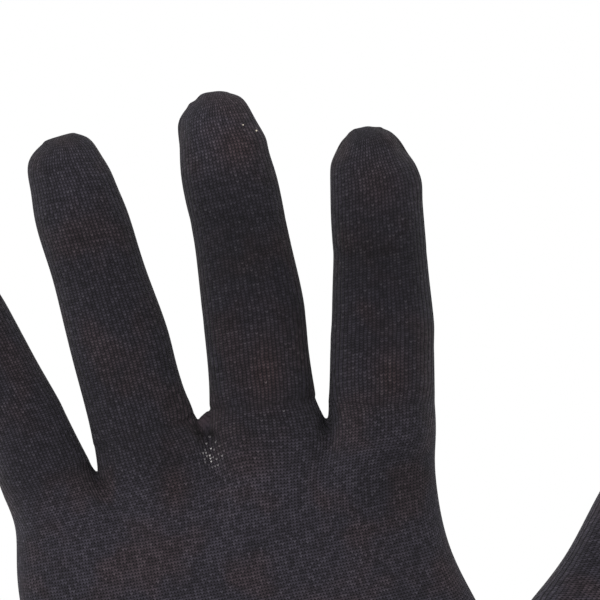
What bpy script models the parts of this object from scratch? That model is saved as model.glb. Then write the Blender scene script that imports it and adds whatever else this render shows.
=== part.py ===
"""Right-hand glove liner in fine black knit, as it stands when a hand fills it.

The liner is knitted as tubes that run into each other: a ribbed cuff, a heel, a palm that opens
into the thumb, the roots of four fingers, and five closed tubes. Each is its own solid.

Frame: metres, +Z from the wrist to the fingertips, +X to the thumb side, -Y out of the palm.
The origin is the centre of the cuff's open end.
"""

import math
from collections import namedtuple

import bmesh
import bpy
from mathutils import Vector

MM = 0.001

# Knit
WALL = 1.0 * MM
TUBE_GAP = 0.3 * MM
KNIT_COLOUR = (0.021, 0.019, 0.024, 1.0)
KNIT_ROUGHNESS = 0.85

# Cuff
CUFF_LENGTH = 62.0 * MM
CUFF_END_WIDTH = 70.0 * MM
CUFF_END_DEPTH = 52.0 * MM
RIB_COUNT = 54
RIB_DEPTH = 0.5 * MM
CUFF_EDGE = 3.0 * MM

# Hand
WRIST_WIDTH = 62.0 * MM
WRIST_DEPTH = 43.0 * MM
PALM_LENGTH = 110.0 * MM
PALM_WIDTH = 91.0 * MM
PALM_DEPTH = 29.0 * MM
ROOT_DEPTH = 22.5 * MM
WEB_RISE = 3.0 * MM

# Thumb
THUMB_LENGTH = 54.0 * MM
THUMB_WIDTH = 23.0 * MM
THUMB_FLATNESS = 0.91
THUMB_LEAN = math.radians(40.0)
THUMB_CROTCH_HEIGHT = 59.5 * MM
THUMB_CROTCH_OUT = 50.5 * MM
THUMB_FORWARD = 7.0 * MM

# Fingers, measured from the bottom of the webs between them
INDEX_LENGTH = 63.0 * MM
INDEX_WIDTH = 21.6 * MM
MIDDLE_LENGTH = 70.5 * MM
MIDDLE_WIDTH = 21.6 * MM
RING_LENGTH = 69.0 * MM
RING_WIDTH = 21.0 * MM
LITTLE_LENGTH = 53.5 * MM
LITTLE_WIDTH = 18.0 * MM
FINGER_FLATNESS = 0.91
STUB_COLLAR = 1.0 * MM
AXIS_STEP = 0.01
CREASE_ANGLE = math.radians(50.0)
MERGE_DISTANCE = 0.01 * MM

# Points around the tubes: columns across the front or the back of one finger, and points on a side
COLUMNS = 6
SIDE_POINTS = 2
CORNER_ANGLE = math.radians(72.0)
PALM_CORNER_SHARE = 0.94
OVAL_POWER = 2.3

# The row of HEEL_ROWS that the palm starts at, and the row of PALM_ROWS that the finger roots start at
PALM_START_ROW = 5
ROOTS_START_ROW = 3

Loop = namedtuple("Loop", "front right back left")
Oval = namedtuple("Oval", "left right depth")
Finger = namedtuple("Finger", "name root length width lean bow curl sections")
Section = namedtuple("Section", "along width depth shift")
Root = namedtuple("Root", "across height")
PalmRow = namedtuple("PalmRow", "along left right depth lobes")

# Where the fingers part: across as a share of the palm's width from its middle, and the height
# above the finger roots as a share of the palm's length. The first and last are the palm's sides.
ROOTS = (
    Root(-0.480, -0.073),
    Root(-0.272, -0.030),
    Root(-0.016, 0.019),
    Root(0.254, -0.019),
    Root(0.496, -0.066),
)

# From the wrist to the row where the thumb leaves: along as a share of that height, the left and
# right ends and the depth as shares of the way from the wrist's to the last row's, and lobes from
# one oval to the hand and the thumb side by side.
HEEL_ROWS = (
    PalmRow(0.00, 0.00, 0.00, 0.00, 0.00),
    PalmRow(0.14, 0.15, 0.04, 0.06, 0.00),
    PalmRow(0.30, 0.43, 0.16, 0.22, 0.00),
    PalmRow(0.48, 0.74, 0.36, 0.45, 0.10),
    PalmRow(0.66, 0.91, 0.59, 0.68, 0.30),
    PalmRow(0.84, 0.98, 0.82, 0.87, 0.62),
    PalmRow(1.00, 1.00, 1.00, 1.00, 1.00),
)

# From the thumb to the finger roots: along as a share of that height, left and right as shares of
# half the palm's width, depth as a share of the palm's, lobes from one oval to four finger tubes.
PALM_ROWS = (
    PalmRow(0.00, 0.965, 1.110, 1.12, 0.00),
    PalmRow(0.20, 0.995, 1.015, 1.08, 0.00),
    PalmRow(0.45, 1.010, 0.948, 1.04, 0.00),
    PalmRow(0.70, 1.010, 0.937, 1.00, 0.06),
    PalmRow(0.88, 0.990, 0.955, 0.97, 0.32),
    PalmRow(1.00, 0.960, 0.980, 0.95, 1.00),
)

# Finger sections: along the finger from its root, then width, depth and sideways shift as shares
# of the finger's width. The first is the stub's end. The waists are the creases at the joints.
MIDDLE_SECTIONS = (
    Section(0.100, 1.020, 1.00, -0.016),
    Section(0.160, 0.992, 1.00, -0.013),
    Section(0.260, 0.975, 0.99, -0.008),
    Section(0.370, 0.979, 0.94, 0.005),
    Section(0.510, 0.926, 0.96, 0.003),
    Section(0.620, 0.898, 0.89, 0.005),
    Section(0.725, 0.902, 0.88, 0.001),
    Section(0.802, 0.863, 0.86, -0.005),
    Section(0.860, 0.822, 0.81, -0.004),
    Section(0.905, 0.772, 0.74, -0.016),
    Section(0.943, 0.700, 0.63, -0.014),
    Section(0.972, 0.565, 0.49, 0.006),
    Section(0.990, 0.390, 0.34, 0.020),
)
INDEX_SECTIONS = (
    Section(0.111, 1.018, 1.00, -0.013),
    Section(0.180, 1.004, 1.00, -0.010),
    Section(0.307, 0.992, 0.99, -0.005),
    Section(0.372, 0.977, 0.95, 0.004),
    Section(0.503, 0.924, 0.96, 0.000),
    Section(0.590, 0.895, 0.90, 0.004),
    Section(0.697, 0.887, 0.88, 0.000),
    Section(0.790, 0.866, 0.86, 0.003),
    Section(0.860, 0.825, 0.81, -0.002),
    Section(0.900, 0.765, 0.73, -0.014),
    Section(0.940, 0.655, 0.60, -0.014),
    Section(0.970, 0.520, 0.47, -0.010),
    Section(0.989, 0.350, 0.32, -0.006),
)
THUMB_SECTIONS = (
    Section(0.120, 1.000, 1.00, 0.000),
    Section(0.200, 0.960, 0.95, 0.000),
    Section(0.290, 0.915, 0.91, 0.000),
    Section(0.390, 0.890, 0.89, 0.000),
    Section(0.500, 0.900, 0.88, 0.000),
    Section(0.620, 0.910, 0.85, 0.000),
    Section(0.740, 0.880, 0.80, 0.000),
    Section(0.840, 0.790, 0.71, 0.000),
    Section(0.910, 0.670, 0.60, 0.000),
    Section(0.960, 0.510, 0.45, 0.000),
    Section(0.986, 0.340, 0.31, 0.000),
)

# root is the first of the two ROOTS that a finger stands between. lean is towards the thumb, bow
# is the sideways curve at mid length and curl the forward one at the tip, as shares of the length.
LITTLE = Finger(
    "little_finger", 0, LITTLE_LENGTH, LITTLE_WIDTH, math.radians(-14.0), 0.010, 0.15, INDEX_SECTIONS
)
RING = Finger(
    "ring_finger", 1, RING_LENGTH, RING_WIDTH, math.radians(-5.0), 0.000, 0.13, MIDDLE_SECTIONS
)
MIDDLE = Finger(
    "middle_finger", 2, MIDDLE_LENGTH, MIDDLE_WIDTH, math.radians(1.8), 0.0211, 0.10, MIDDLE_SECTIONS
)
INDEX = Finger(
    "index_finger", 3, INDEX_LENGTH, INDEX_WIDTH, math.radians(8.9), 0.0165, 0.10, INDEX_SECTIONS
)
THUMB = Finger("thumb", 0, THUMB_LENGTH, THUMB_WIDTH, THUMB_LEAN, 0.03, 0.16, THUMB_SECTIONS)
FINGERS = (LITTLE, RING, MIDDLE, INDEX)

ROOT_HEIGHT = CUFF_LENGTH + PALM_LENGTH
THUMB_ROW_HEIGHT = CUFF_LENGTH + THUMB_CROTCH_HEIGHT
PALM_COLUMNS = COLUMNS * len(FINGERS)
FRONT = Vector((0.0, -1.0, 0.0))


def curved(value):
    """A sine or cosine bent from a circle's to that of a slightly squared oval."""
    return math.copysign(abs(value) ** (2 / OVAL_POWER), value)


def mix(a, b, share):
    return a + (b - a) * share


def mix_points(first, second, share):
    return [p.lerp(q, share) for p, q in zip(first, second)]


def mix_loops(first, second, share):
    return Loop(*(mix_points(p, q, share) for p, q in zip(first, second)))


def closed(loop):
    """The loop's points in order, anticlockwise seen from the fingertips."""
    return loop.front + loop.right + loop.back[::-1] + loop.left[::-1]


def turned_loop(centre, half_across, half_out, turns):
    """The loop at the given angles across its front, and evenly on round its sides."""

    def at(angle):
        return centre + half_across * curved(math.sin(angle)) + half_out * curved(math.cos(angle))

    corner = turns[-1]
    side_step = (math.pi - 2 * corner) / (SIDE_POINTS + 1)
    sides = [corner + side_step * (side + 1) for side in range(SIDE_POINTS)]
    return Loop(
        [at(turn) for turn in turns],
        [at(side) for side in sides],
        [at(math.pi - turn) for turn in turns],
        [at(-side) for side in sides],
    )


def finger_loop(centre, half_across, half_out):
    """The loop round one finger, its columns at even angles."""
    turns = [mix(-CORNER_ANGLE, CORNER_ANGLE, column / COLUMNS) for column in range(COLUMNS + 1)]
    return turned_loop(centre, half_across, half_out, turns)


def palm_loop(oval, columns):
    """The loop round the hand, its columns at even steps across."""
    centre = (oval.left + oval.right) / 2
    half_across = (oval.right - oval.left) / 2
    steps = [mix(-PALM_CORNER_SHARE, PALM_CORNER_SHARE, column / columns) for column in range(columns + 1)]
    turns = [math.asin(math.copysign(abs(step) ** (OVAL_POWER / 2), step)) for step in steps]
    return turned_loop(centre, half_across, FRONT * (oval.depth / 2), turns)


def joined(loops):
    """Loops that stand side by side as one loop, pinched where they meet."""
    front, back = list(loops[0].front), list(loops[0].back)
    for loop in loops[1:]:
        for row, more in ((front, loop.front), (back, loop.back)):
            row[-1] = (row[-1] + more[0]) / 2
            row.extend(more[1:])
    return Loop(front, loops[-1].right, back, loops[0].left)


def web(front, back):
    """The points of the web between two tubes, from its front end over its crest to its back."""
    points = []
    for step in range(1, SIDE_POINTS + 1):
        share = step / (SIDE_POINTS + 1)
        rise = WEB_RISE * (1 - (2 * share - 1) ** 2)
        points.append(front.lerp(back, share) + Vector((0, 0, rise)))
    return points


def part_of(loop, first, last, left, right):
    """The columns first to last of a loop, closed by the given sides."""
    return Loop(loop.front[first : last + 1], right, loop.back[first : last + 1], left)


def root_point(number):
    root = ROOTS[number]
    return Vector((root.across * PALM_WIDTH, 0, ROOT_HEIGHT + root.height * PALM_LENGTH - WEB_RISE))


def finger_root_loop(number):
    """The lobe that a finger makes in the palm's last row, its corners on its neighbours'."""
    left, right = root_point(number), root_point(number + 1)
    half = (right - left) / 2
    outermost = number in (0, len(FINGERS) - 1)
    half_width = half.length / (1.0 if outermost else curved(math.sin(CORNER_ANGLE)))
    return finger_loop((left + right) / 2, half.normalized() * half_width, FRONT * (ROOT_DEPTH / 2))


def finger_centre(finger, start, along):
    """A point on a finger's middle line, for a share of its length."""
    axis = Vector((math.sin(finger.lean), 0, math.cos(finger.lean)))
    sideways = Vector((axis.z, 0, -axis.x))
    bowed = sideways * (finger.bow * 4 * along * (1 - along))
    curled = FRONT * (finger.curl * along**2)
    return start + (axis * along + bowed + curled) * finger.length


def finger_ring(finger, start, section):
    """One ring of a finger tube, square to its middle line."""
    centre = finger_centre(finger, start, section.along)
    axis = (finger_centre(finger, start, section.along + AXIS_STEP) - centre).normalized()
    outward = (FRONT - axis * FRONT.dot(axis)).normalized()
    across = axis.cross(outward)
    flatness = THUMB_FLATNESS if finger is THUMB else FINGER_FLATNESS
    half = finger.width / 2
    return finger_loop(
        centre + across * (section.shift * finger.width),
        across * (section.width * half),
        outward * (section.depth * half * flatness),
    )


def section_at(sections, along):
    """The section at a share of the length, read between the table's rows."""
    for low, high in zip(sections, sections[1:]):
        if along <= high.along:
            share = (along - low.along) / (high.along - low.along)
            return Section(along, *(mix(p, q, share) for p, q in zip(low[1:], high[1:])))
    return sections[-1]


def finger_start(number):
    return (root_point(number) + root_point(number + 1)) / 2


def thumb_root_ends():
    """The two sides of the thumb's root: the bottom of its web, and the side away from the palm."""
    crotch = Vector((THUMB_CROTCH_OUT, 0, THUMB_ROW_HEIGHT - WEB_RISE))
    square = Vector((math.cos(THUMB_LEAN), 0, -math.sin(THUMB_LEAN)))
    return crotch, crotch + square * THUMB_WIDTH + FRONT * THUMB_FORWARD


def thumb_start():
    crotch, outer = thumb_root_ends()
    return (crotch + outer) / 2


def palm_row_oval(row):
    """The hand's oval above the thumb, without the thumb."""
    low = THUMB_ROW_HEIGHT - WEB_RISE
    half = PALM_WIDTH / 2
    left = Vector((-row.left * half, 0, mix(low, root_point(0).z, row.along)))
    right = Vector((row.right * half, 0, mix(low, root_point(len(ROOTS) - 1).z, row.along)))
    return Oval(left, right, row.depth * PALM_DEPTH)


def heel_loops():
    """The rows from the wrist to the thumb, across the hand and the thumb together."""
    hand_end = palm_row_oval(PALM_ROWS[0])
    crotch, outer = thumb_root_ends()
    thumb_half = (outer - crotch) / 2
    thumb_reach = thumb_half.length / curved(math.sin(CORNER_ANGLE))
    thumb_lobe = finger_loop(
        (crotch + outer) / 2,
        thumb_half.normalized() * thumb_reach,
        FRONT * (THUMB_WIDTH * THUMB_FLATNESS / 2),
    )
    split = joined([palm_loop(hand_end, PALM_COLUMNS), thumb_lobe])
    wrist_left = Vector((-WRIST_WIDTH / 2, 0, CUFF_LENGTH + TUBE_GAP))
    wrist_right = Vector((WRIST_WIDTH / 2, 0, CUFF_LENGTH + TUBE_GAP))
    loops = []
    for row in HEEL_ROWS:
        left = wrist_left.lerp(hand_end.left, row.along)
        left.x = mix(wrist_left.x, hand_end.left.x, row.left)
        right = wrist_right.lerp(outer, row.along)
        right.x = mix(wrist_right.x, outer.x, row.right)
        depth = mix(WRIST_DEPTH, hand_end.depth, row.depth)
        plain = palm_loop(Oval(left, right, depth), PALM_COLUMNS + COLUMNS)
        loops.append(mix_loops(plain, split, row.lobes))
    return loops


def palm_loops(first):
    """The rows from the thumb to the finger roots. The first is given, as the heel ends in it."""
    lobes = joined([finger_root_loop(number) for number in range(len(ROOTS) - 1)])
    loops = [first]
    for row in PALM_ROWS[1:]:
        plain = palm_loop(palm_row_oval(row), PALM_COLUMNS)
        loops.append(mix_loops(plain, lobes, row.lobes))
    return loops


def bridge(mesh, low, high):
    """Faces between two loops of as many points."""
    count = len(low)
    for i in range(count):
        j = (i + 1) % count
        mesh.faces.new([low[i], low[j], high[j], high[i]])


def add_tube(mesh, loops):
    rows = [[mesh.verts.new(point) for point in closed(loop)] for loop in loops]
    for low, high in zip(rows, rows[1:]):
        bridge(mesh, low, high)


def cap_rows(loop, rise):
    """A domed grid of points that closes the last loop of a finger, from its front to its back."""
    rows = [loop.front]
    for side in range(SIDE_POINTS):
        down = (side + 1) / (SIDE_POINTS + 1)
        row = [loop.left[side]]
        for column in range(1, COLUMNS):
            over = column / COLUMNS
            flat = loop.front[column].lerp(loop.back[column], down)
            row.append(flat + rise * (1 - (2 * over - 1) ** 4))
        rows.append(row + [loop.right[side]])
    return rows + [loop.back]


def add_cap(mesh, loop, rise):
    grid = [[mesh.verts.new(point) for point in row] for row in cap_rows(loop, rise)]
    for near, far in zip(grid, grid[1:]):
        for column in range(COLUMNS):
            mesh.faces.new([near[column], near[column + 1], far[column + 1], far[column]])


def knit_material(name):
    material = bpy.data.materials.new(name)
    material.use_nodes = True
    shader = material.node_tree.nodes["Principled BSDF"]
    shader.inputs["Base Color"].default_value = KNIT_COLOUR
    shader.inputs["Roughness"].default_value = KNIT_ROUGHNESS
    shader.inputs["Metallic"].default_value = 0.0
    return material


def add_knit(name, mesh):
    """Turns an open outer surface into an object with a wall of knit behind it."""
    bmesh.ops.remove_doubles(mesh, verts=mesh.verts, dist=MERGE_DISTANCE)
    data = bpy.data.meshes.new(name)
    mesh.to_mesh(data)
    mesh.free()
    data.shade_smooth()
    data.set_sharp_from_angle(angle=CREASE_ANGLE)
    data.materials.append(knit_material(name))
    shell = bpy.data.objects.new(name, data)
    bpy.context.scene.collection.objects.link(shell)
    wall = shell.modifiers.new("wall", "SOLIDIFY")
    wall.thickness = WALL
    wall.offset = -1.0
    wall.use_even_offset = True


def build_finger(finger, start):
    """A finger tube from just above its stub on the palm to its closed tip."""
    above_stub = finger.sections[0].along + TUBE_GAP / finger.length
    sections = [section_at(finger.sections, above_stub), *finger.sections[1:]]
    loops = [finger_ring(finger, start, section) for section in sections]
    last = finger.sections[-1].along
    rise = finger_centre(finger, start, 1.0) - finger_centre(finger, start, last)
    mesh = bmesh.new()
    add_tube(mesh, loops)
    add_cap(mesh, loops[-1], rise)
    add_knit(finger.name, mesh)


def stub_loops(finger, start):
    """The last two rings of the palm's stub for a finger, which make a straight collar."""
    end = finger.sections[0]
    below = end._replace(along=end.along - STUB_COLLAR / finger.length)
    return [finger_ring(finger, start, below), finger_ring(finger, start, end)]


def cut_below(loops, row):
    """The loops up to a row, ending a small gap under it."""
    low, high = loops[row - 1], loops[row]
    shortest = min((p - q).length for p, q in zip(closed(low), closed(high)))
    return [*loops[:row], mix_loops(low, high, 1 - TUBE_GAP / shortest)]


def build_heel(heel):
    """The heel of the hand, from the wrist to below the thumb's root."""
    mesh = bmesh.new()
    add_tube(mesh, cut_below(heel, PALM_START_ROW))
    add_knit("heel", mesh)


def build_palm(heel, thumb_web, palm):
    """The palm with the thumb's stub, from the heel to below the finger roots."""
    mesh = bmesh.new()
    add_tube(mesh, heel[PALM_START_ROW:])
    end = heel[-1]
    thumb_loop = part_of(end, PALM_COLUMNS, PALM_COLUMNS + COLUMNS, thumb_web, end.right)
    add_tube(mesh, [thumb_loop, *stub_loops(THUMB, thumb_start())])
    add_tube(mesh, cut_below(palm, ROOTS_START_ROW))
    add_knit("palm", mesh)


def build_roots(palm):
    """The part where the palm opens into four stubs for the fingers."""
    mesh = bmesh.new()
    add_tube(mesh, palm[ROOTS_START_ROW:])
    top = palm[-1]
    webs = [web(top.front[c * COLUMNS], top.back[c * COLUMNS]) for c in range(1, len(FINGERS))]
    sides = [top.left, *webs, top.right]
    for finger in FINGERS:
        number = finger.root
        columns = (number * COLUMNS, (number + 1) * COLUMNS)
        root = part_of(top, *columns, sides[number], sides[number + 1])
        add_tube(mesh, [root, *stub_loops(finger, finger_start(number))])
    add_knit("finger_roots", mesh)


def build_cuff():
    """The ribbed cuff, from its open end to just under the palm, its ribs fading at both ends."""
    rows = ((0, 0), (CUFF_EDGE, 1), (CUFF_LENGTH - 2 * CUFF_EDGE, 1), (CUFF_LENGTH, 0))
    mesh = bmesh.new()
    verts = []
    points = 2 * RIB_COUNT
    for height, ribbed in rows:
        share = height / CUFF_LENGTH
        half_width = mix(CUFF_END_WIDTH, WRIST_WIDTH, share) / 2
        half_depth = mix(CUFF_END_DEPTH, WRIST_DEPTH, share) / 2
        row = []
        for point in range(points):
            angle = 2 * math.pi * point / points
            groove = RIB_DEPTH * ribbed * (point % 2)
            x = (half_width - groove) * curved(math.cos(angle))
            y = (half_depth - groove) * curved(math.sin(angle))
            row.append(mesh.verts.new((x, y, height)))
        verts.append(row)
    for low, high in zip(verts, verts[1:]):
        bridge(mesh, low, high)
    add_knit("cuff", mesh)


def main():
    for old in list(bpy.data.objects):
        bpy.data.objects.remove(old, do_unlink=True)
    build_cuff()
    heel = heel_loops()
    end = heel[-1]
    thumb_web = web(end.front[PALM_COLUMNS], end.back[PALM_COLUMNS])
    palm = palm_loops(part_of(end, 0, PALM_COLUMNS, end.left, thumb_web))
    build_heel(heel)
    build_palm(heel, thumb_web, palm)
    build_roots(palm)
    build_finger(THUMB, thumb_start())
    for finger in FINGERS:
        build_finger(finger, finger_start(finger.root))


main()
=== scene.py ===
"""Looks for the right-hand glove liner: fine black plain knit, with a ribbed cuff.

All of the liner above the cuff, here called the hand, is one surface, subdivided from the same
rings as the solids. Each of its faces carries its place in the knit, as a count of wales across and
courses up. The frame is the solids' own: metres, +Z from the wrist to the fingertips, +X to the
thumb side, -Y out of the palm.
"""

import math
from collections import namedtuple

import bmesh
import bpy
import numpy as np
from mathutils import Matrix, Vector


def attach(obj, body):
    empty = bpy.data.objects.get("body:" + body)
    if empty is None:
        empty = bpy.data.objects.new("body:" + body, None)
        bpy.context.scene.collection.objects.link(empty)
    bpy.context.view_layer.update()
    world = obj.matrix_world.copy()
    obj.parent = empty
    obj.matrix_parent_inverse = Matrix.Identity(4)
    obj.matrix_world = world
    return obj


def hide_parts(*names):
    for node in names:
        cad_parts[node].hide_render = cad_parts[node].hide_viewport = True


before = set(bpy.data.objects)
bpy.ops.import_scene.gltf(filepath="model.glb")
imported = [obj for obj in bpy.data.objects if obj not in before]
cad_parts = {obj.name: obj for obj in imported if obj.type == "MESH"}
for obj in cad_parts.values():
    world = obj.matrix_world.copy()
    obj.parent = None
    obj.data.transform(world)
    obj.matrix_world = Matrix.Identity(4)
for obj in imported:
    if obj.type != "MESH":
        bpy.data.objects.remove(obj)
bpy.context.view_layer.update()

MM = 0.001

# Sizes of the solids, and how finely their rings and ovals are made
WALL = 1.0 * MM
CUFF_LENGTH = 62.0 * MM
CUFF_END_WIDTH = 70.0 * MM
CUFF_END_DEPTH = 52.0 * MM
RIB_COUNT = 54
WRIST_WIDTH = 62.0 * MM
WRIST_DEPTH = 43.0 * MM
PALM_LENGTH = 110.0 * MM
PALM_WIDTH = 91.0 * MM
PALM_DEPTH = 29.0 * MM
ROOT_DEPTH = 22.5 * MM
WEB_RISE = 3.0 * MM
THUMB_LENGTH = 54.0 * MM
THUMB_WIDTH = 23.0 * MM
THUMB_FLATNESS = 0.91
THUMB_LEAN = math.radians(40.0)
THUMB_CROTCH_HEIGHT = 59.5 * MM
THUMB_CROTCH_OUT = 50.5 * MM
THUMB_FORWARD = 7.0 * MM
THUMB_TURN = math.atan2(THUMB_FORWARD, THUMB_WIDTH)
THUMB_TURN_END = 0.45
INDEX_LENGTH = 63.0 * MM
INDEX_WIDTH = 21.6 * MM
MIDDLE_LENGTH = 70.5 * MM
MIDDLE_WIDTH = 21.6 * MM
RING_LENGTH = 69.0 * MM
RING_WIDTH = 21.0 * MM
LITTLE_LENGTH = 53.5 * MM
LITTLE_WIDTH = 18.0 * MM
FINGER_FLATNESS = 0.91
STUB_COLLAR = 1.0 * MM
AXIS_STEP = 0.01
COLUMNS = 6
SIDE_POINTS = 2
CORNER_ANGLE = math.radians(72.0)
PALM_CORNER_SHARE = 0.94
OVAL_POWER = 2.3

# The knit. Wales are counted across the front of the palm, the front of a finger and round a side,
# and a course is the height of a stitch. The back has as many wales as the front.
PALM_WALES = 130.0
FINGER_WALES = 25.5
FINGER_SIDE_WALES = 8.0
PALM_SIDE_WALES = 22.0
PALM_COURSE = 0.62 * MM
FINGER_COURSE = 0.56 * MM
TIP_COURSE = 0.70 * MM
TIP_START = 0.55
TIP_END = 0.78
NARROWING_END = 0.18

# The cuff's ribs, and the bead along its open edge
RIB_DEPTH = 0.7 * MM
RIB_FADE = 5.0 * MM
RIB_POINTS = 6
RIB_WALES = 5
RIB_SHADE = 0.9
CUFF_ROWS = 62
CUFF_WAVE = 0.5 * MM
CUFF_WAVES = 3
CUFF_WAVE_TURN = 5.0
BEAD_HEIGHT = 1.8 * MM
BEAD_REACH = 1.3 * MM
BEAD_SWELL = 0.55 * MM
BEAD_FLATTENING = 0.7

# The photo's frame in the object's frame: its middle, its width there, and how far the hand leans
VIEW_CENTRE = Vector((22.93 * MM, 0.0, 194.77 * MM))
VIEW_WIDTH = 123.7 * MM
VIEW_LEAN = math.radians(11.5)
VIEW_DISTANCE = 1.0
VIEW_RIGHT = Vector((math.cos(VIEW_LEAN), 0.0, -math.sin(VIEW_LEAN)))
VIEW_UP = Vector((math.sin(VIEW_LEAN), 0.0, math.cos(VIEW_LEAN)))
SENSOR_WIDTH = 36.0
CLIP_START = 0.05
CLIP_END = 20.0

# The studio: even light from all round, a soft lamp up on the left, and a pale floor
WORLD_LIGHT = (1.0, 1.0, 1.0, 1.0)
LAMP_PLACE = Vector((-0.25, -0.75, 0.75))
LAMP_AIM = Vector((0.02, 0.0, 0.18))
LAMP_SIZE = 0.5
LAMP_POWER = 6.0
FLOOR_HALF = 1.6
FLOOR_DROP = 0.5 * MM
FLOOR_COLOUR = (0.86, 0.86, 0.86, 1.0)
FLOOR_ROUGHNESS = 0.9

# The hand's surface, and the domes that close its fingertips
SUBDIVISIONS = 3
FITTING_ROUNDS = 3
MERGE_DISTANCE = 0.01 * MM
DOME_POWER = 4

# The outer roots of the thumb, index and little finger are evened out over this reach. Each round
# draws a point this share of the way to its neighbours.
EVENING_REACH = 8.0 * MM
EVENING_ROUNDS = 110
EVENING_DRAW = 0.5

Loop = namedtuple("Loop", "front right back left")
Oval = namedtuple("Oval", "left right depth")
Finger = namedtuple("Finger", "length width lean bow curl sections")
Section = namedtuple("Section", "along width depth shift")
Root = namedtuple("Root", "across height")
PalmRow = namedtuple("PalmRow", "along left right depth lobes")
Patch = namedtuple("Patch", "right up wide high amount")
Bulge = namedtuple("Bulge", "right up wide high rise out")
Pinhole = namedtuple("Pinhole", "right up radius")

# Places on the front, in millimetres to the right of the view's centre and above it, with how far
# they reach each way. In LUMPS the amount is millimetres outwards, in LIFTS it is how many
# millimetres the courses are pulled up, and in the others it is a share.
LUMPS = (
    Patch(-18.6, -28.2, 1.6, 0.7, -0.5),
    Patch(-19.6, 42.1, 2.0, 2.0, 0.65),
    Patch(-17.2, 43.1, 1.6, 1.5, 0.35),
    Patch(-14.2, 43.0, 1.4, 1.2, -0.30),
    Patch(-21.4, 41.2, 0.8, 0.8, -0.30),
    Patch(-22.6, 40.4, 0.9, 1.0, 0.35),
    Patch(-24.7, 35.1, 2.0, 3.0, -0.90),
    Patch(-7.2, 33.0, 1.5, 2.5, 0.40),
    Patch(16.8, 35.9, 1.5, 1.2, -0.75),
    Patch(13.6, 35.9, 1.2, 1.2, 0.20),
    Patch(10.3, 34.4, 0.9, 1.2, 0.25),
    Patch(21.4, 32.0, 2.0, 3.0, -0.85),
    Patch(24.6, 24.2, 1.5, 3.0, 0.40),
    Patch(8.0, 31.8, 2.0, 2.5, -0.50),
    Patch(5.2, -26.0, 1.0, 1.6, -0.7),
    Patch(-22.4, -21.6, 1.4, 3.0, 0.40),
    Patch(-14.4, 16.5, 9.0, 1.4, -0.25),
    Patch(-9.3, -3.7, 9.0, 1.3, -0.25),
    Patch(16.1, 9.7, 9.0, 1.3, -0.25),
    Patch(16.9, -9.7, 9.0, 1.3, -0.20),
)
# Here the knit is pushed up and out of the palm, in millimetres.
BULGES = (
    Bulge(-19.7, -24.3, 1.2, 1.8, 1.9, 1.2),
    Bulge(-20.1, -23.4, 0.75, 1.4, 2.1, 0.5),
    Bulge(-21.8, -24.4, 0.8, 1.2, 1.0, 0.0),
    Bulge(-21.1, -24.6, 0.45, 1.4, -0.45, 0.0),
    Bulge(-19.9, -24.0, 0.6, 1.2, 0.30, 0.0),
)
LIFTS = (Patch(-12.0, -30.0, 6.5, 7.0, 2.5),)
# Painted light and shade, as shares of the yarn's lightness: the fingertips lighter, partly for
# their stretched knit and partly with painted light from above, painted shade in the creases, in
# the pucker between the middle and index fingers and round the lower rim of the pad between the
# ring and middle fingers, painted light on that pad, and patches of the palm lighter or darker.
PAINTED_LIGHT_AND_SHADE = (
    Patch(-16.1, 36.1, 9.0, 9.0, 0.40),
    Patch(15.5, 28.9, 9.0, 8.0, 0.14),
    Patch(-46.4, 27.8, 9.0, 8.0, 0.25),
    Patch(-14.4, 16.5, 9.0, 1.8, -0.13),
    Patch(-9.3, -3.7, 9.0, 1.6, -0.11),
    Patch(16.1, 9.7, 9.0, 1.5, -0.11),
    Patch(16.9, -9.7, 9.0, 1.5, -0.10),
    Patch(19.0, -36.0, 10.0, 8.0, -0.32),
    Patch(-27.0, -36.0, 4.5, 7.0, -0.28),
    Patch(5.2, -25.6, 1.2, 1.7, -0.50),
    Patch(-19.6, -25.4, 1.1, 1.2, 0.42),
    Patch(-21.3, -26.2, 0.5, 1.0, -0.60),
    Patch(-20.7, -27.4, 0.7, 0.6, -0.70),
    Patch(-19.6, -27.8, 1.0, 0.5, -0.80),
    Patch(-18.2, -27.3, 0.9, 0.6, -0.80),
    Patch(-17.6, -31.6, 4.0, 4.0, 0.20),
)
# Here the knit is flatter, and darker with painted shade, along the middles of two fingers.
FLAT_SHADED_PLACES = (
    Patch(-12.4, 9.0, 12.0, 15.0, 0.36),
    Patch(16.0, 7.0, 12.0, 17.0, 0.35),
)
SMOOTH_PLACES = (Patch(-19.7, -24.8, 1.8, 2.2, 0.65),)
WARMTHS = (
    Patch(-12.4, 31.5, 5.0, 5.0, 0.8),
    Patch(-7.2, -14.5, 4.5, 8.0, 0.9),
    Patch(18.6, -15.5, 4.0, 6.0, 0.8),
    Patch(15.5, 23.7, 5.0, 6.0, 0.5),
    Patch(-25.5, -38.0, 3.0, 5.0, 0.7),
    Patch(-11.0, -33.0, 6.0, 4.0, 0.5),
)
SPARKLES = (
    Patch(-18.0, -31.4, 3.5, 4.8, 0.93),
    Patch(-6.2, -16.1, 2.0, 3.0, 0.60),
    Patch(-3.1, -22.7, 1.5, 3.0, 0.60),
    Patch(18.1, -16.5, 1.5, 1.5, 0.55),
)
PINHOLES = (
    Pinhole(-11.6, 35.7, 0.13),
    Pinhole(-8.9, 34.6, 0.17),
)

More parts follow.
